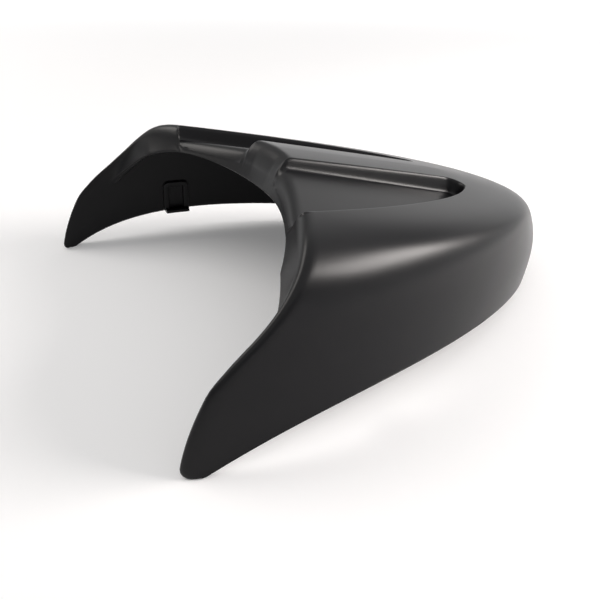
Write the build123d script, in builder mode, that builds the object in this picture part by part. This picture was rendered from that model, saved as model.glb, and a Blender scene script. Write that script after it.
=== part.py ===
from build123d import *

import os
from math import cos, hypot, pi, radians, sin, tan
from typing import NamedTuple

# Motorcycle seat cowl: one moulded shell, open underneath and at the front.
# y runs back from the arm tips, x out from the middle plane, z up from the rim.
tail_reach = 294.0
half_width = 118.0
front_datum = -20.0
wall = 3.5

# Plan of the skin: its swell beyond the front width, and how full it is at the sides and tail.
# Each pair is the value at the rim and the change from there to the crown.
swell = (0.64, -0.62)
side_fullness = (0.27, 0.055)
tail_fullness = (0.62, 0.32)


class Rail(NamedTuple):
    tuck: float
    tail_tuck: float
    front_z: float
    tail_z: float
    facing: float


# Control lines of the skin: tucks from half_width and tail_reach, heights at both ends, facing angle.
rim = Rail(-4.0, 9.0, 0.0, 0.0, 0)
belt = Rail(0.0, 0.0, 35.5, 18.0, 3)
flank = Rail(-1.0, 11.5, 68.5, 38.0, 20)
shoulder = Rail(8.0, 18.0, 109.5, 47.5, 57)
brow = Rail(52.0, 41.5, 110.0, 53.5, 80)
crown = Rail(106.0, 79.5, 122.5, 66.0, 90)
rails = (rim, belt, flank, shoulder, brow, crown)
knots = (0, 0, 0, 0, 1 / 3, 2 / 3, 1, 1, 1, 1)
brow_line = 0.85
side_stations = 9
top_stations = 4

# Front face: concave in plan, hollow in side view, with an elbow where the arms turn down.
front_half = half_width + 22.0
front_plan = ((0, 0), (46.5, 0), (front_half - 46.5, -31.0), (front_half, -41.5))
front_clear = 200.0
front_foot = (28.0, -20.0)
front_elbow = (58.0, 44.5)
front_hollow = (101.5, 71.0)
front_head = (101.5, 97.5)
front_over = 30.0
elbow_radius = 14.0
edge_land = 1.3
front_roll = wall - edge_land

# Lip across the front: flush with the front face in the middle, set back where it meets the sides.
lip_plan = ((0, -4.0), (60.0, -4.0), (half_width - 28.0, -50.0), (front_half - 5.0, -16.0))
lip_wall = 8.0
mouth_plan = ((0, 72.0), (62.0, 72.0), (104.0, 87.0), (half_width + 14.0, 35.0))
mouth_foot = -20.0
mouth_clear = 60.0

# Recesses on the top, either side of the spine, measured on their sloping floor.
floor_height = 90.5
floor_fall = 0.271
floor_roll = 0.211
recess_tip = (27.5, 114.5)
recess_tip_radius = 5.0
recess_crest = 110
recess_leave = 48
recess_rear_bend = (62.0, 90.0)
recess_front_bend = (82.5, 10.5)
recess_mouth = 88.5
recess_front = -45.0
recess_depth = 30.0
wall_draft = 20

# Bevel on the front end of the spine, in side view.
bevel_foot = (90.0, 83.2)
bevel_head = (112.0, 97.3)
bevel_half = 24.0
bevel_over = 12.0

# Rim line in side view: flat under the arm tips and the tail, arched up between them.
rim_z = 0.5
tip_pad = 9.0
tail_pad = 17.0
rim_arch = ((25.0, 7.0), (60.0, 15.0), (105.0, 17.0), (150.0, 15.5), (200.0, 11.0), (250.0, 5.0))
rim_clear = 60.0

# Catch inside each side wall: a raised frame around a pocket, with a ledge at the rim.
catch_y = 83.0
catch_width = 18.0
catch_foot = 8.0
catch_top = 39.5
catch_rise = 2.0
pocket_width = 10.0
pocket_top = 34.5
ledge_width = 16.0
ledge_z = 17.0
ledge_height = 2.5
ledge_rise = 5.0
catch_root = 1.0


def share(index, degree, at):
    # weight of one control line at a station of the skin, by the B-spline recurrence
    if degree == 0:
        return 1.0 if knots[index] <= at < knots[index + 1] else 0.0
    low_span = knots[index + degree] - knots[index]
    high_span = knots[index + degree + 1] - knots[index + 1]
    total = 0.0
    if low_span:
        total += (at - knots[index]) / low_span * share(index, degree - 1, at)
    if high_span:
        total += (knots[index + degree + 1] - at) / high_span * share(index + 1, degree - 1, at)
    return total


def skin_section(at, inset):
    # outline of the skin at one station, moved in by the inset square to its face
    half = tail = front_z = tail_z = 0.0
    for index, rail in enumerate(rails):
        weight = share(index, 3, min(at, 1 - 1e-9))
        inward = inset * cos(radians(rail.facing))
        down = inset * sin(radians(rail.facing))
        half += weight * (half_width - rail.tuck - inward)
        tail += weight * (tail_reach - rail.tail_tuck - inward)
        front_z += weight * (rail.front_z - down)
        tail_z += weight * (rail.tail_z - down)
    run = tail - front_datum
    reach = hypot(run, tail_z - front_z)
    side = side_fullness[0] + side_fullness[1] * at
    bulge = (swell[0] + swell[1] * at) * side * run
    tail_half = (tail_fullness[0] + tail_fullness[1] * at) * half
    level = Plane((0, front_datum, front_z), x_dir=(1, 0, 0), z_dir=(0, front_z - tail_z, run))
    with BuildSketch(level) as section:
        with BuildLine():
            flank_line = Bezier((half, 0), (half + bulge, side * reach), (tail_half, reach), (0, reach))
            mirror(flank_line, about=Plane.YZ)
            Line((-half, 0), (half, 0))
        make_face()
    return section.sketch


def skin(inset):
    # solid filling everything inside the skin: sides and shoulders in one loft, the top in another
    spans = []
    for low, high, stations in ((0, brow_line, side_stations), (brow_line, 1, top_stations)):
        with BuildPart() as span:
            for step in range(stations):
                crowd = (1 - cos(pi * step / (stations - 1))) / 2
                add(skin_section(low + (high - low) * crowd, inset))
            loft()
        spans.append(span.part)
    with BuildPart() as body:
        add(spans)
    return body.part


def front_section(plan, depth, y, z):
    # band at one height between a plan curve and the same curve moved back by a depth
    end_x, end_y = plan[-1]
    with BuildSketch(Plane((0, y, z))) as section:
        with BuildLine():
            near = Bezier(*plan)
            mirror(near, about=Plane.YZ)
            far = Bezier(*[(px, py + depth) for px, py in plan])
            mirror(far, about=Plane.YZ)
            Line((end_x, end_y), (end_x, end_y + depth))
            Line((-end_x, end_y), (-end_x, end_y + depth))
        make_face()
    return section.sketch


def front_band(plan, depth):
    # the band carried up the front profile: arms, hollow face, and upright above
    lean = Bezier(front_elbow, front_hollow, front_head)
    with BuildPart() as arms:
        add(front_section(plan, depth, *front_foot))
        add(front_section(plan, depth, *front_elbow))
        loft()
    with BuildPart() as face:
        for at in (0, 0.5, 1):
            add(front_section(plan, depth, (lean @ at).X, (lean @ at).Y))
        loft()
    with BuildPart() as over:
        add(front_section(plan, depth, *front_head))
        extrude(amount=front_over)
    with BuildPart() as body:
        add([arms.part, face.part, over.part])
    return body.part


def recess_outline(level, grow):
    # outline of a recess on a plane parallel to its floor, grown square to its walls
    with BuildSketch(level) as outline:
        with BuildLine():
            crest = radians(recess_crest)
            leave = radians(recess_leave)
            reach = recess_tip_radius + grow
            tip_in = (recess_tip[0] - reach, recess_tip[1])
            tip_top = (recess_tip[0] + reach * cos(crest), recess_tip[1] + reach * sin(crest))
            tip_out = (recess_tip[0] + reach * cos(leave), recess_tip[1] + reach * sin(leave))
            rear_bend = (recess_rear_bend[0] + grow * cos(leave), recess_rear_bend[1] + grow * sin(leave))
            front_bend = (recess_front_bend[0] + grow, recess_front_bend[1])
            mouth_out = (recess_mouth + grow, recess_front)
            ThreePointArc(tip_in, tip_top, tip_out)
            Bezier(tip_out, rear_bend, front_bend, mouth_out)
            Polyline(mouth_out, (tip_in[0], recess_front), tip_in)
        make_face()
    return outline.sketch


def recess(thick):
    # one recess as a solid standing on its floor, enlarged by a thickness
    floor = Plane(
        (0, front_head[0], floor_height),
        x_dir=(1 + floor_fall**2, -floor_fall * floor_roll, -floor_roll),
        z_dir=(floor_roll, floor_fall, 1),
    )
    draft = radians(wall_draft)
    with BuildPart() as body:
        add(recess_outline(floor.offset(-thick), thick * (1 - sin(draft)) / cos(draft)))
        add(recess_outline(floor.offset(recess_depth), recess_depth * tan(draft) + thick / cos(draft)))
        loft()
    return body.part


def on_wall(outline, rise):
    # a side-view outline as a pad on the inside of both side walls
    with BuildPart() as pad:
        add(outline)
        extrude(amount=front_half, dir=(1, 0, 0))
        add(skin(wall - catch_root), mode=Mode.INTERSECT)
        add(skin(wall + rise), mode=Mode.SUBTRACT)
        mirror(about=Plane.YZ)
    return pad.part


with BuildPart() as outer:
    add(skin(0))
    add(front_band(front_plan, -front_clear), mode=Mode.SUBTRACT)
    elbow_line = outer.edges().sort_by_distance((0, *front_elbow))[0]
    fillet(elbow_line, elbow_radius)
    add(recess(0), mode=Mode.SUBTRACT)
    add(recess(0).mirror(Plane.YZ), mode=Mode.SUBTRACT)
    with BuildSketch(Plane.YZ):
        Polygon(bevel_foot, bevel_head, (bevel_foot[0], bevel_head[1] + bevel_over), align=None)
    extrude(amount=bevel_half, both=True, mode=Mode.SUBTRACT)
    side_edges = outer.edges().filter_by(lambda edge: abs(edge.center().X) > recess_mouth)
    side_edges = side_edges.filter_by(lambda edge: edge.center().Y < front_hollow[0] and edge.center().Z > 1)
    fillet(side_edges, front_roll)

with BuildPart() as lip:
    add(front_band(lip_plan, lip_wall))
    with BuildSketch(Plane.XZ.offset(mouth_clear)):
        with BuildLine():
            arch = Bezier(*mouth_plan)
            mirror(arch, about=Plane.YZ)
            end_x, end_z = mouth_plan[-1]
            Polyline(
                (end_x, end_z),
                (front_half, end_z),
                (front_half, mouth_foot),
                (-front_half, mouth_foot),
                (-front_half, end_z),
                (-end_x, end_z),
            )
        make_face()
    extrude(amount=-mouth_clear - tail_reach, mode=Mode.SUBTRACT)

with BuildPart() as hollow:
    add(skin(wall))
    add(lip.part, mode=Mode.SUBTRACT)
    add(recess(wall), mode=Mode.SUBTRACT)
    add(recess(wall).mirror(Plane.YZ), mode=Mode.SUBTRACT)

with BuildSketch(Plane.YZ) as catch_frame:
    with Locations((catch_y, catch_top)):
        Rectangle(catch_width, catch_top - catch_foot, align=(Align.CENTER, Align.MAX))
    with Locations((catch_y, pocket_top)):
        Rectangle(pocket_width, catch_top, align=(Align.CENTER, Align.MAX), mode=Mode.SUBTRACT)

with BuildSketch(Plane.YZ) as ledge:
    with Locations((catch_y, ledge_z)):
        Rectangle(ledge_width, ledge_height, align=(Align.CENTER, Align.MIN))

with BuildPart() as below_rim:
    with BuildSketch(Plane.YZ):
        with BuildLine():
            tip_end = (tip_pad, rim_z)
            tail_start = (tail_reach - tail_pad, rim_z)
            Spline(tip_end, *rim_arch, tail_start)
            Polyline(
                tail_start,
                (tail_reach + rim_clear, rim_z),
                (tail_reach + rim_clear, -rim_clear),
                (-rim_clear, -rim_clear),
                (-rim_clear, rim_z),
                tip_end,
            )
        make_face()
    extrude(amount=front_half, both=True)

with BuildPart() as shell:
    add(outer.part)
    add(hollow.part, mode=Mode.SUBTRACT)
    add(on_wall(catch_frame.sketch, catch_rise))
    add(on_wall(ledge.sketch, ledge_rise))
    add(below_rim.part, mode=Mode.SUBTRACT)

# The finished cowl stands with its origin under the middle of its length.
middle = shell.part.bounding_box().center().Y
with BuildPart() as cowl:
    add(shell.part.moved(Location((0, -middle, -rim_z))))

cowl.part.label = "cowl"
os.makedirs("parts", exist_ok=True)
export_step(cowl.part, "parts/cowl.step")
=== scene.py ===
import math

import bpy
import numpy as np
from mathutils import Matrix, Vector


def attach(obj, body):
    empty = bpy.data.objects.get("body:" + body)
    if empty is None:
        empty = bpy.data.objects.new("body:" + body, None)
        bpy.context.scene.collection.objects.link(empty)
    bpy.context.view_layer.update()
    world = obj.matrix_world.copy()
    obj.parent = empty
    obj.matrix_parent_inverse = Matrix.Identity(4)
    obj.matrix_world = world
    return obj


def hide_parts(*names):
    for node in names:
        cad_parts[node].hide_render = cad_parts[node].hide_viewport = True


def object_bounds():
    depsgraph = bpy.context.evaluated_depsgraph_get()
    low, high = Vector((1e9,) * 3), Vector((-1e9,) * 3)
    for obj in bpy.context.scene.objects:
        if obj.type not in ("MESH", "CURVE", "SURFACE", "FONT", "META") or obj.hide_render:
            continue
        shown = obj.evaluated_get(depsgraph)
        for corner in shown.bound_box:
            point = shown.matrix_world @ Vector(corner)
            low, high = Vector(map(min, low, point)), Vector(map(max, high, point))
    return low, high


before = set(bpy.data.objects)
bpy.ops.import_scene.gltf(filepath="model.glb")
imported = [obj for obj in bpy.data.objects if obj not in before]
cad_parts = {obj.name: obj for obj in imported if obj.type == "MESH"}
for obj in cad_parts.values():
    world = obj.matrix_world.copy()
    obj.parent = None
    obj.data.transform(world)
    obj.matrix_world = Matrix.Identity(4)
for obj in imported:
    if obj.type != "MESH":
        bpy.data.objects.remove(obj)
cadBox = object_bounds()
print("frame loaded:", ", ".join(sorted(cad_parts)))

# Lengths of the shapes below are in millimetres, measured as on the real cowl: y back from the arm
# tips, x out from the middle plane, z up from the rim. toFrame() carries them to the frame's metres.

tiny = 1e-9   # keeps a division off zero, and a row off the last knot


def bezier(points, t):
    # cubic Bezier: the four points weighted by the Bernstein terms of t
    p = np.array(points, float)
    t = np.asarray(t, float)[..., None]
    return p[0] * (1 - t) ** 3 + 3 * p[1] * t * (1 - t) ** 2 + 3 * p[2] * t * t * (1 - t) + p[3] * t ** 3


def softMin(a, b, k):
    # the lower of two heights, rounded over a difference of k
    h = np.clip(0.5 + 0.5 * (b - a) / k, 0, 1)
    return b + (a - b) * h - k * h * (1 - h)


def runningMean(values, n):
    # each value becomes the mean of itself and its n neighbours either side
    return np.convolve(np.pad(values, n, mode="edge"), np.ones(2 * n + 1) / (2 * n + 1), "valid")


def smoothRows(vectors, n):
    # the running mean of x, y and z down the rows
    return np.stack([runningMean(vectors[:, axis], n) for axis in range(3)], -1)


def interpColumns(x, xp, fp):
    # straight interpolation down each column, with its own rising xp
    k = np.clip((xp[None] <= x[:, None]).sum(1) - 1, 0, len(xp) - 2)
    x0, x1 = np.take_along_axis(xp, k, 0), np.take_along_axis(xp, k + 1, 0)
    f0, f1 = np.take_along_axis(fp, k, 0), np.take_along_axis(fp, k + 1, 0)
    return f0 + (f1 - f0) * np.clip((x - x0) / np.maximum(x1 - x0, tiny), 0, 1)


def lengthAlong(points, axis=0):
    # the length run so far at each point of a line, or of every line of a sheet at once
    steps = np.linalg.norm(np.diff(points, axis=axis), axis=-1)
    return np.concatenate([np.zeros_like(steps.take([0], axis)), np.cumsum(steps, axis)], axis)


# The skin is a sheet of six rails, from the rim up to the crown; each rail gives one value to every row.
skinShape = dict(
    tuck=(-4.0, 0.0, -1.0, 8.0, 52.0, 106.0),          # in from the half width, at the front
    tailTuck=(9.0, 0.0, 11.5, 18.0, 41.5, 79.5),       # in from the tail's reach
    frontZ=(0.0, 35.5, 68.5, 109.5, 110.0, 122.5),     # height at the front datum
    tailZ=(0.0, 18.0, 38.0, 47.5, 53.5, 66.0),         # height at the tail
    facing=(0.0, 3.0, 20.0, 57.0, 80.0, 90.0),         # how far the face looks up, in degrees
    halfWidth=118.0, tailReach=294.0, frontDatum=-20.0,
    swell=(0.64, -0.62),                               # the side's bulge at the rim, and its change up
    sideFull=(0.27, 0.055), tailFull=(0.62, 0.32),     # how full the side and the tail stay, likewise
    wall=3.5, crownSoft=2.4,
)
railDegree = 3
railKnots = np.array([0, 0, 0, 0, 1 / 3, 2 / 3, 1, 1, 1, 1])


def railWeights(v):
    # cubic B-spline weights of the six rails at height v, by the Cox-de Boor recurrence
    v = np.minimum(np.asarray(v, float), 1 - tiny)[..., None]
    weights = ((railKnots[:-1] <= v) & (v < railKnots[1:])).astype(float)
    for degree in range(1, railDegree + 1):
        n = len(railKnots) - degree - 1
        start, end = railKnots[:n], railKnots[degree + 1:degree + 1 + n]
        leftSpan = railKnots[degree:degree + n] - start
        rightSpan = end - railKnots[1:n + 1]
        blank = np.zeros(v.shape[:-1] + (n,))
        left = np.divide(v - start, leftSpan, out=blank.copy(), where=leftSpan > 0)
        right = np.divide(end - v, rightSpan, out=blank.copy(), where=rightSpan > 0)
        weights = left * weights[..., :n] + right * weights[..., 1:n + 1]
    return weights


def skin(u, v, inset=0.0):
    # row v is a Bezier from the front datum to the tail, in a plane that tilts with the row's two heights;
    # an inset moves every rail in square to its face
    shape = skinShape
    u, v = np.broadcast_arrays(np.asarray(u, float), np.asarray(v, float))
    turn = np.radians(shape["facing"])
    weights = railWeights(v)
    half = weights @ (shape["halfWidth"] - np.array(shape["tuck"]) - inset * np.cos(turn))
    tail = weights @ (shape["tailReach"] - np.array(shape["tailTuck"]) - inset * np.cos(turn))
    lowZ = weights @ (np.array(shape["frontZ"]) - inset * np.sin(turn))
    highZ = weights @ (np.array(shape["tailZ"]) - inset * np.sin(turn))
    run = tail - shape["frontDatum"]
    side = shape["sideFull"][0] + shape["sideFull"][1] * v
    bulge = (shape["swell"][0] + shape["swell"][1] * v) * side * run
    full = shape["tailFull"][0] + shape["tailFull"][1] * v
    a, b, c, d = (1 - u) ** 3, 3 * u * (1 - u) ** 2, 3 * u * u * (1 - u), u ** 3
    x = a * half + b * (half + bulge) + c * full * half
    along = b * side + c + d
    return np.stack([x, shape["frontDatum"] + along * run, lowZ + (highZ - lowZ) * along], -1)


# The rim is flat under the arm tips and the tail, and arches up between them.
rimShape = dict(
    y=(9.0, 25.0, 60.0, 105.0, 150.0, 200.0, 250.0, 277.0),
    z=(0.5, 7.0, 15.0, 17.0, 15.5, 11.0, 5.0, 0.5),
    degree=6, edgeIn=0.22, edgeUp=0.7,
)
rimCurve = np.polynomial.Polynomial.fit(rimShape["y"], rimShape["z"], rimShape["degree"])


def rimZ(y):
    # one polynomial near the rim's points, never under the flat runs
    arched = (y > rimShape["y"][0]) & (y < rimShape["y"][-1])
    flat = rimShape["z"][0]
    return np.where(arched, np.maximum(rimCurve(y), flat), flat)


# The front face is cut by a concave plan carried up a side profile: leaning arms, a hollow, then upright.
frontShape = dict(
    plan=((0.0, 0.0), (46.5, 0.0), (93.5, -31.0), (140.0, -41.5)), planSamples=200,
    elbow=(58.0, 44.5), elbowSoft=10.0, armLean=0.465, armBow=3.0, tipRound=4.5,
    headY=101.5, headZ=97.5, hollowBelow=0.6, holdFade=0.12,
)


def planY(plan, x):
    # a Bezier in plan, read at the distance from the middle plane
    curve = bezier(plan, np.linspace(0, 1, frontShape["planSamples"]))
    return np.interp(np.abs(x), curve[:, 0], curve[:, 1])


def leanY(z):
    # the side profile: the further back of the arm's bowed line and the hollow's parabola, softly joined at
    # the elbow, with a quarter round at the arm's tip
    shape = frontShape
    elbowY, elbowZ = shape["elbow"]
    t = np.clip((z - elbowZ) / (shape["headZ"] - elbowZ), -shape["hollowBelow"], 1)
    face = shape["headY"] - (shape["headY"] - elbowY) * (1 - t) ** 2
    drop = np.clip((elbowZ - z) / elbowZ, 0, 1)
    arm = elbowY + shape["armLean"] * (z - elbowZ) - 4 * shape["armBow"] * drop * (1 - drop)
    tip = shape["tipRound"]
    reach = np.clip(tip - (z - rimShape["z"][0]), 0, tip)
    return tip - np.sqrt(tip ** 2 - reach ** 2) - softMin(-face, -arm, shape["elbowSoft"])


def frontY(x, z):
    # the front face: its plan plus its lean
    return planY(frontShape["plan"], x) + leanY(z)


# The lip closes the front under the top edge, down to a free edge that arches over the seat.
lipShape = dict(
    plan=((0.0, -4.0), (60.0, -4.0), (90.0, -50.0), (135.0, -16.0)),
    mouth=((0.0, 72.0), (62.0, 72.0), (104.0, 87.0), (132.0, 35.0)),   # free edge, seen from the front
    mouthSamples=400, thick=4.5, backShare=0.9, round=1.3, rimSetBack=0.2,
    hollow=0.8, hollowOver=10.0, leastDeep=0.5, steps=16, roundSteps=5, rootSteps=7,
)


def lipY(x, z):
    # the lip stands in the front face in the middle and falls back behind it at the sides
    return np.maximum(planY(frontShape["plan"], x), planY(lipShape["plan"], x)) + leanY(z)


# A recess lies each side of the spine, with a sloping floor and drafted walls; sizes are on the floor.
recessShape = dict(
    height=90.5, fall=0.271, roll=0.211,
    inner=22.5, tip=(27.5, 114.5), tipRadius=5.0, leave=48.0, tipSteps=14,
    rearBend=(62.0, 90.0), frontBend=(82.5, 10.5), mouth=88.5, front=-45.0, sideSteps=42,
    draft=20.0, rootSoft=0.8, edgeSoft=2.2, settleSteps=4,
)
# The spine's front end is bevelled down to the lip.
bevelShape = dict(foot=(90.0, 83.2), head=(112.0, 97.3), half=22.0, flare=3.0, soft=2.2)


def recessOutline():
    # straight along the spine, round the tip on an arc, then a Bezier out to the mouth
    shape = recessShape
    turn = np.linspace(np.pi, np.radians(shape["leave"]), shape["tipSteps"])
    arc = np.array(shape["tip"]) + shape["tipRadius"] * np.stack([np.cos(turn), np.sin(turn)], -1)
    bends = [arc[-1], shape["rearBend"], shape["frontBend"], (shape["mouth"], shape["front"])]
    side = bezier(bends, np.linspace(0, 1, shape["sideSteps"])[1:])
    return np.concatenate([[(shape["inner"], shape["front"])], arc, side])


def recessZ(x, y, thick=0.0):
    # height of the floor plane, plus the distance outside the floor's outline over the tangent of the draft
    shape = recessShape
    fall, roll = shape["fall"], shape["roll"]
    normal = np.array([roll, fall, 1.0])
    across = np.array([1 + fall ** 2, -fall * roll, -roll])
    across /= np.linalg.norm(across)
    rearward = np.array([0, 1, -fall]) / np.hypot(1, fall)
    back = y - frontShape["headY"]
    floor = shape["height"] - roll * x - fall * back
    rel = np.stack([x, back, floor - shape["height"]], -1)
    q = np.stack([rel @ across, rel @ rearward], -1).reshape(-1, 1, 2)
    start = recessOutline()
    end = np.roll(start, -1, 0)
    span = end - start
    t = np.clip(((q - start) * span).sum(-1) / (span * span).sum(-1), 0, 1)
    gap = q - start - t[..., None] * span
    dist = np.sqrt((gap * gap).sum(-1).min(1))
    # a point is inside where a line from it outwards meets the outline an odd number of times
    straddles = (start[:, 1] > q[..., 1]) != (end[:, 1] > q[..., 1])
    rise = np.where(span[:, 1] == 0, tiny, span[:, 1])
    meets = straddles & (q[..., 0] < start[:, 0] + (q[..., 1] - start[:, 1]) * span[:, 0] / rise)
    outside = np.where(meets.sum(1) % 2 == 1, -dist, dist).reshape(np.shape(x))
    draft = np.radians(shape["draft"])
    outside = outside - thick * (1 - np.sin(draft)) / np.cos(draft)
    k = shape["rootSoft"]
    ramp = np.where(outside < -k, 0, np.where(outside > k, outside, (outside + k) ** 2 / (4 * k)))
    return floor - thick * np.linalg.norm(normal) + ramp / np.tan(draft)


def sunkZ(p, thick):
    # the skin's own height, or the recess's or the spine bevel's where that is lower
    x, y = np.abs(p[..., 0]), p[..., 1]
    z = softMin(p[..., 2], recessZ(x, y, thick), recessShape["edgeSoft"])
    (footY, footZ), (headY, headZ) = bevelShape["foot"], bevelShape["head"]
    slope = footZ + (headZ - footZ) / (headY - footY) * (y - footY)
    slope = slope + np.maximum(x - bevelShape["half"], 0) * bevelShape["flare"]
    return softMin(z, slope - thick, bevelShape["soft"])


def settle(p, hold, thick=0.0, surface=frontY):
    # sink the skin into the recesses; where hold is 1 the points slide forward to stay on the front surface
    q = p.copy()
    start = surface(p[..., 0], p[..., 2])
    for _ in range(recessShape["settleSteps"]):
        q[..., 2] = np.minimum(p[..., 2], sunkZ(np.stack([p[..., 0], q[..., 1], p[..., 2]], -1), thick))
        q[..., 1] = p[..., 1] + (surface(p[..., 0], q[..., 2]) - start) * hold
    return q


# How the sheet is divided: columns crowd where the recesses end, rows along the rim and the recess edges.
shellGrid = dict(
    columns=150, fineSamples=2000, tipAt=0.66, tipSpread=0.035, tipCrowd=2.2, tipTrim=2,
    rowSamples=321, recessFrom=0.5, edgeMean=2,
    lowRows=46, lowCrowd=1.35, edgeRows=22, floorRows=10, spineRows=7, crownRows=5,
    bandOver=3.5, bandUnder=6.5, overShare=0.3, underShare=0.42, spineShare=0.5,
    halvings=40, frontMost=0.95, rimMost=0.3,
)


def halve(most, gridSize, isPast):
    # the value between 0 and most from which a test holds, by halving the span
    low, high = np.zeros(gridSize), np.full(gridSize, most)
    for _ in range(shellGrid["halvings"]):
        mid = (low + high) / 2
        past = isPast(mid)
        low, high = np.where(past, low, mid), np.where(past, mid, high)
    return (low + high) / 2


def meetFront(v, surface, inset=0.0, shift=0.0):
    # where each row passes behind a front surface
    def behind(u):
        p = skin(u, v, inset)
        return p[..., 1] - surface(p[..., 0], p[..., 2]) > shift
    return halve(shellGrid["frontMost"], np.shape(v), behind)


def rimRow(u, inset):
    # the row on which each column stands on the rim line
    def aboveRim(v):
        p = skin(u, v, inset)
        return p[..., 2] > rimZ(p[..., 1])
    return halve(shellGrid["rimMost"], np.shape(u), aboveRim)


def crossing(vs, above, low, high):
    # where a column's height above the recess passes through zero, on the straight line between two samples
    column = np.arange(above.shape[1])
    a, b = above[low, column], above[high, column]
    span = np.where(a == b, 1, a - b)
    return vs[low] + (vs[high] - vs[low]) * a / span


def recessEdges(sheet, vs):
    # the heights v at which each column enters the recess and leaves it at the spine; columns past the
    # recess's end keep the last one's
    grid = shellGrid
    above = recessZ(sheet[..., 0], sheet[..., 1]) - sheet[..., 2]
    cut = (above < 0) & (vs[:, None] > grid["recessFrom"])
    first, last = np.argmax(cut, 0), len(vs) - 1 - np.argmax(cut[::-1], 0)
    atOut = crossing(vs, above, first - 1, first)
    atIn = crossing(vs, above, last, np.minimum(last + 1, len(vs) - 1))
    end = np.where(cut.any(0))[0].max() - grid["tipTrim"]
    atOut[end:], atIn[end:] = atOut[end], atIn[end]
    return runningMean(atOut, grid["edgeMean"]), runningMean(atIn, grid["edgeMean"])


def layRows():
    # the share s of each column along its row, and every point's height v: rows lie at even lengths up each
    # column, between the lines of the rim, of both recess edges and of the crown
    grid = shellGrid
    fine = np.linspace(0, 1, grid["fineSamples"])
    density = 1 + grid["tipCrowd"] * np.exp(-((fine - grid["tipAt"]) / grid["tipSpread"]) ** 2)
    count = np.cumsum(density) - density[0]
    s = np.interp(np.linspace(0, 1, grid["columns"]), count / count[-1], fine)
    vs = np.linspace(0, 1, grid["rowSamples"])
    vGrid = np.repeat(vs[:, None], len(s), 1)
    uFront = meetFront(vs, frontY)[:, None]
    sheet = skin(uFront + (1 - uFront) * s, vs[:, None])
    lift = np.maximum.accumulate(sheet[..., 2] - rimZ(sheet[..., 1]))
    atRim = interpColumns(np.zeros((1, len(s))), lift, vGrid)[0]
    atOut, atIn = recessEdges(sheet, vs)
    reach = lengthAlong(sheet)
    rim, outEdge, inEdge = interpColumns(np.stack([atRim, atOut, atIn]), vGrid, reach)
    top = reach[-1]
    over = np.minimum(grid["bandOver"], grid["overShare"] * (inEdge - outEdge))
    under = np.minimum(grid["bandUnder"], grid["underShare"] * (inEdge - outEdge))
    spine = np.minimum(over, grid["spineShare"] * (top - inEdge))
    lines = [rim, outEdge - over, outEdge + under, inEdge - under, inEdge + spine, top]
    counts = [grid[band] for band in ("lowRows", "edgeRows", "floorRows", "edgeRows", "spineRows")]
    crowds = (grid["lowCrowd"], 1, 1, 1, 1)
    parts = [
        start + (end - start) * (np.arange(n)[:, None] / n) ** crowd
        for start, end, n, crowd in zip(lines, lines[1:], counts, crowds)
    ]
    return s, interpColumns(np.concatenate(parts + [top[None]]), reach, vGrid)


def overCrown(p):
    # more rows narrow straight across the crown to the middle plane, and its edge is rounded: the height is
    # the softened lower of the crown's plane and the skin, carried on inwards at its slope beside the crown
    shape, n = skinShape, shellGrid["crownRows"]
    strip = np.repeat(p[-1:], n, 0)
    strip[..., 0] *= 1 - (np.arange(1, n + 1) / n).reshape((n,) + (1,) * (p.ndim - 2))
    whole = np.concatenate([p, strip])
    edge, beside = p[-1], p[-2]
    run = shape["tailReach"] - shape["tailTuck"][-1] - shape["frontDatum"]
    fall = (shape["tailZ"][-1] - shape["frontZ"][-1]) / run
    plane = edge[..., 2] + fall * (whole[..., 1] - edge[..., 1])
    step = np.hypot(beside[..., 0] - edge[..., 0], beside[..., 1] - edge[..., 1])
    slope = np.maximum(plane[len(p) - 2] - beside[..., 2], 0) / np.maximum(step, tiny)
    inside = np.maximum(edge[..., 0] - whole[..., 0], 0)
    whole[..., 2] = softMin(plane, whole[..., 2] + slope * inside, shape["crownSoft"])
    return whole


def innerSkin(u, v, hold, surface=frontY):
    # the skin moved in by the wall, closed over the crown and sunk under the recesses
    wall = skinShape["wall"]
    return settle(overCrown(skin(u, v, wall)), hold, wall, surface)


def corner(a, b, c, n):
    # quadratic arc from a to c, pulled to b, for every row at once
    t = np.linspace(0, 1, n)[None, :, None]
    return a[:, None] * (1 - t) ** 2 + 2 * b[:, None] * t * (1 - t) + c[:, None] * t * t


def stepTo(a, b, length, most=0.4):
    # from a towards b by a length, and never more than a share of the way
    gap = np.linalg.norm(b - a, axis=-1, keepdims=True)
    return a + (b - a) / np.maximum(gap, tiny) * np.minimum(length, most * gap)


def freeEdge(wallLip, edgeRun):
    # the lip's free edge: the mouth laid on the lip's face, shared out by length from the wall to the
    # middle; first is the row on which the lip starts
    mouth = bezier(lipShape["mouth"], np.linspace(0, 1, lipShape["mouthSamples"]))
    first = np.argmax(wallLip[:, 2] > np.interp(wallLip[:, 0], mouth[:, 0], mouth[:, 1]))
    arch = np.stack([mouth[:, 0], lipY(mouth[:, 0], mouth[:, 1]), mouth[:, 1]], -1)
    arch = arch[mouth[:, 0] <= wallLip[first, 0]][::-1]
    archRun = lengthAlong(arch)
    part = np.clip((edgeRun - edgeRun[first]) / (edgeRun[-1] - edgeRun[first]), 0, 1) * archRun[-1]
    return first, np.stack([np.interp(part, archRun, arch[:, axis]) for axis in range(3)], -1)


# The front edge is rolled over, wide on the arms and narrower on top and on the recess walls.
rollShape = dict(
    arm=7.0, top=4.6, growsOver=60.0, depth=0.85, down=2.0, under=0.5, noseSteps=6, underSteps=5,
    wallLess=0.75, steepGain=2.0, steepFrom=0.4, steepMean=3, flushMean=4, turnMean=4,
)


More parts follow.
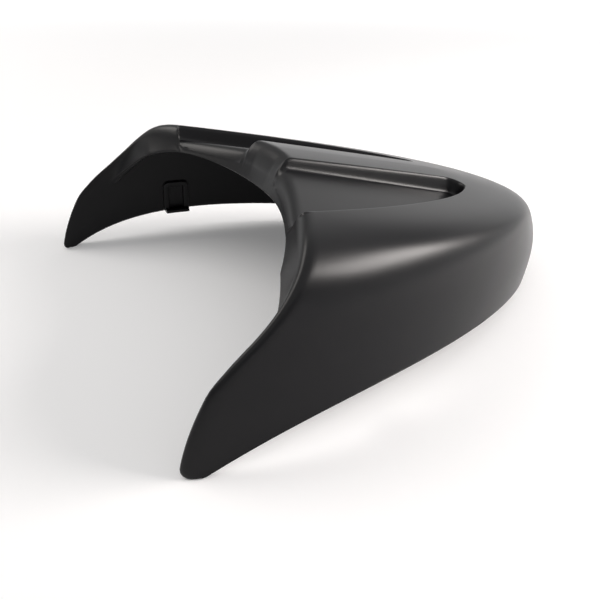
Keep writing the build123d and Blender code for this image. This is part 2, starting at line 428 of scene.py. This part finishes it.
def rollWidth(frontEdge, sunk, grown):
    # the roll narrows as it leaves the arm, and again where the edge drops steeply into a recess
    roll = rollShape["arm"] + (rollShape["top"] - rollShape["arm"]) * grown
    along = np.linalg.norm(np.gradient(frontEdge, axis=0), axis=1)
    steep = np.abs(np.gradient(sunk)) / np.maximum(along, tiny)
    steep = np.clip(rollShape["steepGain"] * steep - rollShape["steepFrom"], 0, 1)
    return (roll * (1 - rollShape["wallLess"] * runningMean(steep, rollShape["steepMean"])))[:, None]


def trimFront(outer, s, roll):
    # share out every outer row again, from where the roll starts back to the tail
    sAll = np.repeat(s[:, None], len(outer), 1)
    sRoll = interpColumns(roll.T, lengthAlong(outer, 1).T, sAll)[0][:, None]
    sGrid = sRoll + (1 - sRoll) * s
    return np.stack([interpColumns(sGrid.T, sAll, outer[..., axis].T).T for axis in range(3)], -1)


def shellLoops():
    # each row runs along the outside from tail to front, over the rolled edge, down the lip and round its
    # free edge, and back along the inside to the tail
    wall = skinShape["wall"]
    s, v = layRows()
    print("rows laid:", v.shape[0], "by", v.shape[1])
    hold = np.exp(-s / frontShape["holdFade"])
    uFront = meetFront(v, frontY)
    whole = overCrown(skin(uFront + (1 - uFront) * s, v))
    outer = settle(whole, hold)
    frontEdge = outer[:, 0]

    vFront = v[:, 0]
    uEdge = meetFront(vFront, frontY, wall)
    uLip = meetFront(vFront, lipY, wall)
    uBack = meetFront(vFront, lipY, wall, lipShape["thick"])
    edgeIn = innerSkin(uEdge, vFront, 1.0)
    wallLip = innerSkin(uLip, vFront, 1.0, lipY)
    edgeRun = lengthAlong(edgeIn)
    first, free = freeEdge(wallLip, edgeRun)
    onLip = (np.arange(len(free)) >= first)[:, None]

    # under the lip the same lines run down inside the arm and close on its front edge at the rim
    low = np.clip(edgeRun / edgeRun[first], 0, 1)[:len(v)]
    setBack = lipShape["rimSetBack"] + (1 - lipShape["rimSetBack"]) * low ** 2 * (3 - 2 * low)
    uFree = uEdge + (uLip - uEdge) * setBack
    uRoot = uFree + uBack - uLip
    free = np.where(onLip, free, innerSkin(uFree, vFront, 0.0))
    behind = free + np.array([0, lipShape["backShare"] * lipShape["thick"], 0])
    rear = np.where(onLip, behind, innerSkin((uFree + uRoot) / 2, vFront, 0.0))
    uInner = uRoot[:, None] + (1 - uRoot[:, None]) * s
    nearRim = np.clip(1 - np.arange(len(v))[:, None] / shellGrid["lowRows"], 0, 1)
    vInner = v + (rimRow(uInner[0], wall) - v[0]) * nearRim
    inner = innerSkin(uInner, vInner, hold, lipY)
    root = inner[:, 0]

    # the lip's face is hollow where it is set in behind the front edge
    setIn = np.clip(np.linalg.norm(wallLip - edgeIn, axis=1) / lipShape["hollowOver"], 0, 1)[:, None]
    straight = (edgeIn + free) / 2
    wallDeep, freeDeep = (wallLip - edgeIn)[:, 1:2], (free - edgeIn)[:, 1:2]
    share = np.clip(freeDeep / np.maximum(wallDeep, lipShape["leastDeep"]), 0, 1)
    hollow = edgeIn + (wallLip - edgeIn) * share
    bend = np.where(onLip, straight + (hollow - straight) * setIn * lipShape["hollow"], straight)

    # the roll turns from the skin into the lip where they are flush, and over the wall elsewhere
    grown = np.clip((edgeRun - edgeRun[first]) / rollShape["growsOver"], 0, 1)
    roll = rollWidth(frontEdge, whole[:, 0, 2] - frontEdge[:, 2], grown)
    down = free - frontEdge
    down = down / np.linalg.norm(down, axis=1, keepdims=True)
    flush = runningMean(np.where(onLip, 1 - setIn, 0)[:, 0], rollShape["flushMean"])[:, None]
    turn = edgeIn + (frontEdge + rollShape["down"] * roll * down - edgeIn) * flush
    turn = frontEdge + smoothRows(turn - frontEdge, rollShape["turnMean"])
    turn[-1, 0] = 0   # the last row stays on the middle plane, where the two halves meet
    nose = frontEdge + (turn - frontEdge) * rollShape["depth"]
    under = stepTo(turn, bend, rollShape["under"] * roll)

    skinRun = trimFront(outer, s, roll)
    freeIn, freeOut = stepTo(free, bend, lipShape["round"]), stepTo(rear, root, lipShape["round"])
    freeMid = (free + rear) / 2
    return np.concatenate([
        skinRun[:, ::-1],
        corner(skinRun[:, 0], frontEdge, nose, rollShape["noseSteps"])[:, 1:],
        corner(nose, turn, under, rollShape["underSteps"])[:, 1:],
        corner(under, bend, freeIn, lipShape["steps"])[:, 1:],
        corner(freeIn, free, freeMid, lipShape["roundSteps"])[:, 1:],
        corner(freeMid, rear, freeOut, lipShape["roundSteps"])[:, 1:],
        corner(freeOut, (freeOut + root) / 2, root, lipShape["rootSteps"])[:, 1:-1],
        inner,
    ], 1)


def gridFaces(index):
    # one quad between each four neighbours of a grid of point numbers
    corners = [index[:-1, :-1], index[1:, :-1], index[1:, 1:], index[:-1, 1:]]
    return np.stack(corners, -1).reshape(-1, 4)


def acrossFaces(line):
    # quads that join a line of point numbers to itself, first to last, going inwards
    last = len(line) - 1
    k = np.arange(last // 2)
    return np.stack([line[k], line[k + 1], line[last - 1 - k], line[last - k]], -1)


def closeShell(loops):
    # a softened rim row joins each point to its partner across the wall; the other half is the mirror image
    rim = loops[:1] + (loops[:1, ::-1] - loops[:1]) * rimShape["edgeIn"]
    loops = loops.copy()
    loops[0, :, 2] += rimShape["edgeUp"]
    points = np.concatenate([rim, loops])
    rows, columns = points.shape[:2]
    index = np.arange(rows * columns).reshape(rows, columns)
    faces = np.concatenate([gridFaces(index), acrossFaces(index[0])])
    flat = points.reshape(-1, 3)
    points = np.concatenate([flat, flat * np.array([-1, 1, 1])])
    return points, np.concatenate([faces, faces[:, ::-1] + len(flat)])


perMetre = 1000.0    # millimetres in a metre
mergeSteps = 1e6     # steps in a metre; points that round to the same step are one


def toFrame(points):
    # the tail's end meets the frame's box and the rim stands on its floor
    low, high = np.array(cadBox[0]), np.array(cadBox[1])
    shift = np.array([0, perMetre * high[1] - tailEnd, -rimShape["z"][0]])
    return np.clip((points + shift) / perMetre, low, high)


def addPiece(name, points, faces, material):
    # points that coincide are merged; a face that loses one corner is a triangle, and with two it is dropped
    steps = np.round(points * mergeSteps).astype(np.int64)
    first, inverse = np.unique(steps, axis=0, return_index=True, return_inverse=True)[1:]
    faces = inverse.reshape(-1)[faces]
    kept = faces != np.roll(faces, 1, 1)
    quads, tris = faces[kept.sum(1) == 4], faces[kept.sum(1) == 3]
    tris = tris[kept[kept.sum(1) == 3]].reshape(-1, 3)
    mesh = bpy.data.meshes.new(name)
    mesh.from_pydata(points[first].tolist(), [], quads.tolist() + tris.tolist())
    mesh.shade_smooth()
    mesh.materials.append(material)
    piece = bpy.data.objects.new(name, mesh)
    bpy.context.scene.collection.objects.link(piece)
    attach(piece, "root")
    print("piece", name, len(mesh.vertices), "points", len(mesh.polygons), "faces")
    return piece


# A catch on each inner wall: a raised frame round a pocket that is open at the foot, and a ledge at the rim.
catchShape = dict(
    y=83.0, width=18.0, top=39.5, pocketWidth=10.0, pocketTop=34.5, rise=2.0, root=1.0, footUp=0.4,
    bend=2.0, edge=0.9, ledgeWidth=16.0, ledgeZ=15.4, ledgeHeight=2.5, ledgeRise=5.0,
    postSteps=12, bendSteps=7, topSteps=6, edgeSteps=5, ledgeSteps=14,
)
# The search for a point of the wall starts from a guess and stays inside these limits of the skin.
wallSearch = dict(guess=(0.3, 0.15), nudge=1e-4, steps=12, uLimits=(0.01, 0.99), vLimits=(0.001, 0.99))


def wallAt(y, z, inset):
    # the inner skin's point at a given y and z, by Newton steps in its two parameters
    u, v = (np.full(np.shape(y), start) for start in wallSearch["guess"])
    d = wallSearch["nudge"]
    for _ in range(wallSearch["steps"]):
        p = skin(u, v, inset)
        pu, pv = (skin(u + d, v, inset) - p) / d, (skin(u, v + d, inset) - p) / d
        ey, ez = y - p[..., 1], z - p[..., 2]
        det = pu[..., 1] * pv[..., 2] - pv[..., 1] * pu[..., 2]
        u = np.clip(u + (ey * pv[..., 2] - ez * pv[..., 1]) / det, *wallSearch["uLimits"])
        v = np.clip(v + (ez * pu[..., 1] - ey * pu[..., 2]) / det, *wallSearch["vLimits"])
    return skin(u, v, inset)


def barAlong(path, across, half, rise):
    # a rounded bar on the wall: a profile of width and rise carried along a path of (y, z) points
    root, edge, wall = catchShape["root"], catchShape["edge"], skinShape["wall"]
    turn = np.linspace(0, np.pi / 2, catchShape["edgeSteps"])
    cornerWidth, cornerRise = half - edge + edge * np.cos(turn), rise - edge + edge * np.sin(turn)
    width = np.concatenate([[half], cornerWidth, -cornerWidth[::-1], [-half]])
    height = np.concatenate([[-root], cornerRise, cornerRise[::-1], [-root]])
    y = path[:, None, 0] + across[:, None, 0] * width
    z = path[:, None, 1] + across[:, None, 1] * width
    base, lifted = wallAt(y, z, wall), wallAt(y, z, wall + rise)
    return base + (lifted - base) * (height / rise)[None, :, None]


def closeBar(grid):
    # wrap the profile round and cap both ends with a strip of quads across it
    stations, count = grid.shape[:2]
    index = np.arange(stations * count).reshape(stations, count)
    sides = gridFaces(np.concatenate([index, index[:, :1]], 1))
    caps = acrossFaces(index[0]), acrossFaces(index[-1])[:, ::-1]
    return grid.reshape(-1, 3), np.concatenate([sides, *caps])


def catchPath():
    # along the middle of the bar: up one post, round a bend, across the top and down the other post;
    # also the direction across the bar at each point
    shape = catchShape
    half = (shape["width"] + shape["pocketWidth"]) / 4
    top = (shape["top"] + shape["pocketTop"]) / 2
    bend, posts, tops = shape["bend"], shape["postSteps"], shape["topSteps"]
    foot = rimZ(np.array(shape["y"])) + shape["footUp"]
    turn = np.linspace(0, np.pi / 2, shape["bendSteps"])[1:-1]
    right = np.concatenate([
        np.stack([np.full(posts, half), np.linspace(foot, top - bend, posts)], -1),
        np.stack([half - bend * (1 - np.cos(turn)), top - bend * (1 - np.sin(turn))], -1),
        np.stack([np.linspace(half - bend, 0, tops), np.full(tops, top)], -1),
    ])
    path = np.concatenate([right, (right * np.array([-1, 1]))[::-1][1:]])
    step = np.gradient(path, axis=0)
    step /= np.linalg.norm(step, axis=1, keepdims=True)
    return path + np.array([shape["y"], 0]), np.stack([step[:, 1], -step[:, 0]], -1)


def catchPieces(material):
    # the frame's bar follows its path, the ledge's a straight run; the right side mirrors the left
    shape = catchShape
    path, across = catchPath()
    frameGrid = barAlong(path, across, (shape["width"] - shape["pocketWidth"]) / 4, shape["rise"])
    steps, half = shape["ledgeSteps"], shape["ledgeHeight"] / 2
    ledgeY = shape["y"] + np.linspace(-shape["ledgeWidth"] / 2, shape["ledgeWidth"] / 2, steps)
    ledgePath = np.stack([ledgeY, np.full(steps, shape["ledgeZ"] + half)], -1)
    ledgeGrid = barAlong(ledgePath, np.tile([0.0, -1.0], (steps, 1)), half, shape["ledgeRise"])
    for side, sign in (("left", 1), ("right", -1)):
        for part, grid in (("frame", frameGrid), ("ledge", ledgeGrid)):
            points, faces = closeBar(grid)
            faces = faces[:, ::-1] if sign > 0 else faces   # outwards on both sides
            addPiece(f"catch_{part}_{side}", toFrame(points * np.array([sign, 1, 1])), faces, material)


class Sock:
    # one output socket; sums on values add Math nodes
    def __init__(self, tree, out):
        self.tree, self.out = tree, out

    def math(self, operation, a, b):
        return self.tree.node("ShaderNodeMath", dict(operation=operation), {0: a, 1: b})

    def __add__(self, other):
        return self.math("ADD", self, other)

    def __radd__(self, other):
        return self.math("ADD", other, self)

    def __sub__(self, other):
        return self.math("SUBTRACT", self, other)

    def __rsub__(self, other):
        return self.math("SUBTRACT", other, self)

    def __mul__(self, other):
        return self.math("MULTIPLY", self, other)

    def __rmul__(self, other):
        return self.math("MULTIPLY", other, self)


class Tree:
    # the nodes of a material or a world
    def __init__(self, holder):
        self.holder = holder
        self.holder.use_nodes = True
        self.nodes, self.links = self.holder.node_tree.nodes, self.holder.node_tree.links
        self.nodes.clear()

    def node(self, kind, settings=None, inputs=None, output=0):
        made = self.nodes.new(kind)
        for key, value in (settings or {}).items():
            if key == "stops":
                for stop, (at, colour) in zip(made.color_ramp.elements, value):
                    stop.position, stop.color = at, colour
            else:
                setattr(made, key, value)
        for key, value in (inputs or {}).items():
            if isinstance(value, Sock):
                self.links.new(value.out, made.inputs[key])
            else:
                made.inputs[key].default_value = value
        return Sock(self, made.outputs[output]) if made.outputs else None

    def noise(self, scale, detail, roughness=0.5, stretch=None):
        where = self.node("ShaderNodeTexCoord", output="Object")
        if stretch:
            where = self.node("ShaderNodeMapping", None, {"Vector": where, "Scale": stretch})
        inputs = {"Vector": where, "Scale": scale, "Detail": detail, "Roughness": roughness}
        return self.node("ShaderNodeTexNoise", None, inputs)

    def ramp(self, value, stops):
        # a colour ramp of two stops
        return self.node("ShaderNodeValToRGB", dict(stops=stops), {0: value})


# Satin black moulded plastic: a fine spark-eroded grain, cloudy gloss from the mould, faint rubbed streaks.
plasticLook = dict(
    dark=(0.003, 0.0029, 0.0039, 1), pale=(0.0057, 0.0054, 0.0066, 1), toneSpan=(0.3, 0.7),
    grain=dict(scale=1500.0, detail=2.0, roughness=0.6),
    pits=dict(scale=4200.0, detail=1.0),
    clouds=dict(scale=22.0, detail=4.0, roughness=0.55),
    streaks=dict(scale=95.0, detail=3.0, roughness=0.6, stretch=(1.0, 0.08, 1.0)),
    toneShares=(0.55, 0.3, 0.15), roughShares=(0.5, 0.25, 0.25),   # of clouds, grain and streaks
    roughLow=0.25, roughHigh=0.33, roughGain=1.15, specular=0.22,
    heightShares=(0.7, 0.3), bumpStrength=0.35, bumpHeight=0.00005,   # of grain and pits; height in metres
)


def satinPlastic():
    # tone, gloss and height are weighted sums of the four noises
    look = plasticLook
    tree = Tree(bpy.data.materials.new("satin_black_plastic"))
    names = ("grain", "pits", "clouds", "streaks")
    grain, pits, clouds, streaks = (tree.noise(**look[name]) for name in names)
    ofClouds, ofGrain, ofStreaks = look["toneShares"]
    tone = ofClouds * clouds + ofGrain * grain + ofStreaks * streaks
    colour = tree.ramp(tone, list(zip(look["toneSpan"], (look["dark"], look["pale"]))))
    ofClouds, ofGrain, ofStreaks = look["roughShares"]
    span = (look["roughHigh"] - look["roughLow"]) * look["roughGain"]
    rough = look["roughLow"] + span * (ofClouds * clouds + ofGrain * grain + ofStreaks * streaks)
    ofGrain, ofPits = look["heightShares"]
    bump = tree.node("ShaderNodeBump", None, {
        "Strength": look["bumpStrength"], "Distance": look["bumpHeight"],
        "Height": ofGrain * grain + ofPits * pits,
    })
    shader = tree.node("ShaderNodeBsdfPrincipled", None, {
        "Base Color": colour, "Roughness": rough, "Normal": bump, "Specular IOR Level": look["specular"],
    })
    tree.node("ShaderNodeOutputMaterial", None, {"Surface": shader})
    print("finish made:", tree.holder.name)
    return tree.holder


loops = shellLoops()
tailEnd = loops[..., 1].max()
plastic = satinPlastic()
shellPoints, shellFaces = closeShell(loops)
shell = addPiece("cowl_shell", toFrame(shellPoints), shellFaces, plastic)
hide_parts("cowl")
catchPieces(plastic)

# White sweep, in metres: the floor glows for the eye alone, so that it is white and still takes the shadow.
stageLook = dict(
    size=60.0, colour=(0.88, 0.88, 0.89), speckle=dict(scale=9.0, detail=2.0), speckleDim=0.985,
    glowNear=0.17, glowFar=0.95, glowFrom=0.4, glowOver=3.0,
    skyline=1.0, zenith=0.4, skyFrom=0.03, skyOver=0.25, dim=0.05, white=(1, 1, 1, 1),
)


def seenRays(tree):
    # 1 for the rays that show the background: straight from the eye, mirrored or through glass
    outputs = tree.node("ShaderNodeLightPath").out.node.outputs
    kinds = ("Is Camera Ray", "Is Glossy Ray", "Is Transmission Ray")
    eye, mirrored, through = (Sock(tree, outputs[kind]) for kind in kinds)
    return eye + mirrored + through


def floorFinish():
    # matte white plus a glow that grows with the distance from the cowl, and leaves the shadow near it alone
    look = stageLook
    tree = Tree(bpy.data.materials.new("studio_floor"))
    dimmed = tuple(look["speckleDim"] * channel for channel in look["colour"])
    colour = tree.ramp(tree.noise(**look["speckle"]), [(0.0, dimmed + (1,)), (1.0, look["colour"] + (1,))])
    matte = tree.node("ShaderNodeBsdfDiffuse", None, {"Color": colour})
    where = tree.node("ShaderNodeTexCoord", output="Object")
    away = tree.node("ShaderNodeVectorMath", dict(operation="LENGTH"), {0: where}, "Value")
    far = tree.node("ShaderNodeMapRange", dict(interpolation_type="SMOOTHSTEP"), {
        "Value": away, "From Min": look["glowFrom"], "From Max": look["glowFrom"] + look["glowOver"],
    })
    strength = (look["glowNear"] + (look["glowFar"] - look["glowNear"]) * far) * seenRays(tree)
    glow = tree.node("ShaderNodeEmission", None, {"Color": look["white"], "Strength": strength})
    both = tree.node("ShaderNodeAddShader", None, {0: matte, 1: glow})
    tree.node("ShaderNodeOutputMaterial", None, {"Surface": both})
    return tree.holder


def buildFloor():
    # one square under the cowl
    half = stageLook["size"] / 2
    mesh = bpy.data.meshes.new("studio_floor")
    corners = [(-half, -half, 0), (half, -half, 0), (half, half, 0), (-half, half, 0)]
    mesh.from_pydata(corners, [], [(0, 1, 2, 3)])
    mesh.materials.append(floorFinish())
    floor = bpy.data.objects.new("studio_floor", mesh)
    bpy.context.scene.collection.objects.link(floor)


def buildSky():
    # white at the skyline and greyer above for the rays that show it, dim for the rest
    look = stageLook
    tree = Tree(bpy.data.worlds.new("studio"))
    where = tree.node("ShaderNodeTexCoord", output="Generated")
    up = tree.node("ShaderNodeSeparateXYZ", None, {0: where}, "Z")
    seen = tree.node("ShaderNodeMapRange", dict(interpolation_type="SMOOTHSTEP"), {
        "Value": up, "From Min": look["skyFrom"], "From Max": look["skyFrom"] + look["skyOver"],
        "To Min": look["skyline"], "To Max": look["zenith"],
    })
    strength = look["dim"] + (seen - look["dim"]) * seenRays(tree)
    back = tree.node("ShaderNodeBackground", None, {"Color": look["white"], "Strength": strength})
    tree.node("ShaderNodeOutputWorld", None, {"Surface": back})
    bpy.context.scene.world = tree.holder


# Soft boxes, each by the way it lies from the cowl: azimuth and elevation in degrees, distance, width and
# height in metres, power in watts.
lightRig = dict(
    ceiling=dict(
        azimuth=0, elevation=90, distance=3.0, size=(8.0, 8.0), power=120, colour=(1.0, 0.99, 0.98)),
    rearBox=dict(
        azimuth=220, elevation=17, distance=2.5, size=(2.2, 0.6), power=2.6, colour=(1.0, 0.98, 0.97)),
    rightBox=dict(
        azimuth=153, elevation=28, distance=1.3, size=(0.8, 0.3), power=17, colour=(1.0, 0.95, 0.92)),
    leftBox=dict(
        azimuth=316, elevation=38, distance=1.6, size=(1.1, 0.6), power=8, colour=(1.0, 0.96, 0.92)),
)


def towards(azimuth, elevation):
    # unit direction from the cowl; azimuth 0 is in front of it, and grows to its left
    a, e = math.radians(azimuth), math.radians(elevation)
    return Vector((math.sin(a) * math.cos(e), -math.cos(a) * math.cos(e), math.sin(e)))


def buildLights():
    # each box faces the middle of the cowl
    middle = Vector(((np.array(cadBox[0]) + np.array(cadBox[1])) / 2).tolist())
    for name, box in lightRig.items():
        lamp = bpy.data.lights.new(name, "AREA")
        lamp.shape = "RECTANGLE"
        lamp.energy, lamp.color = box["power"], box["colour"]
        lamp.size, lamp.size_y = box["size"]
        holder = bpy.data.objects.new(name, lamp)
        away = towards(box["azimuth"], box["elevation"])
        holder.location = middle + away * box["distance"]
        holder.rotation_euler = away.to_track_quat("Z", "Y").to_euler()
        holder.visible_camera = False
        bpy.context.scene.collection.objects.link(holder)


# The photograph's view: angles in degrees, lens and sensor in millimetres, the rest in metres.
cameraView = dict(
    azimuth=62.55, elevation=28.29, roll=0.25, distance=0.301, target=(0.0964, -0.0735, 0.0495),
    lens=40.0, sensor=36.0, clipStart=0.01,
)


def buildCamera():
    # looks back along its direction at the target, upright but for the roll
    view = cameraView
    data = bpy.data.cameras.new("photo_view")
    data.lens, data.sensor_width, data.clip_start = view["lens"], view["sensor"], view["clipStart"]
    camera = bpy.data.objects.new("photo_view", data)
    away = towards(view["azimuth"], view["elevation"])
    right = Vector((0, 0, 1)).cross(away).normalized()
    up = away.cross(right)
    turn = Matrix((right, up, away)).transposed() @ Matrix.Rotation(math.radians(view["roll"]), 3, "Z")
    place = Matrix.Translation(Vector(view["target"]) + away * view["distance"])
    camera.matrix_world = place @ turn.to_4x4()
    bpy.context.scene.collection.objects.link(camera)
    bpy.context.scene.camera = camera


buildFloor()
buildSky()
buildLights()
buildCamera()
bpy.context.scene.view_settings.view_transform = "Standard"
print("stage, lights and camera set")
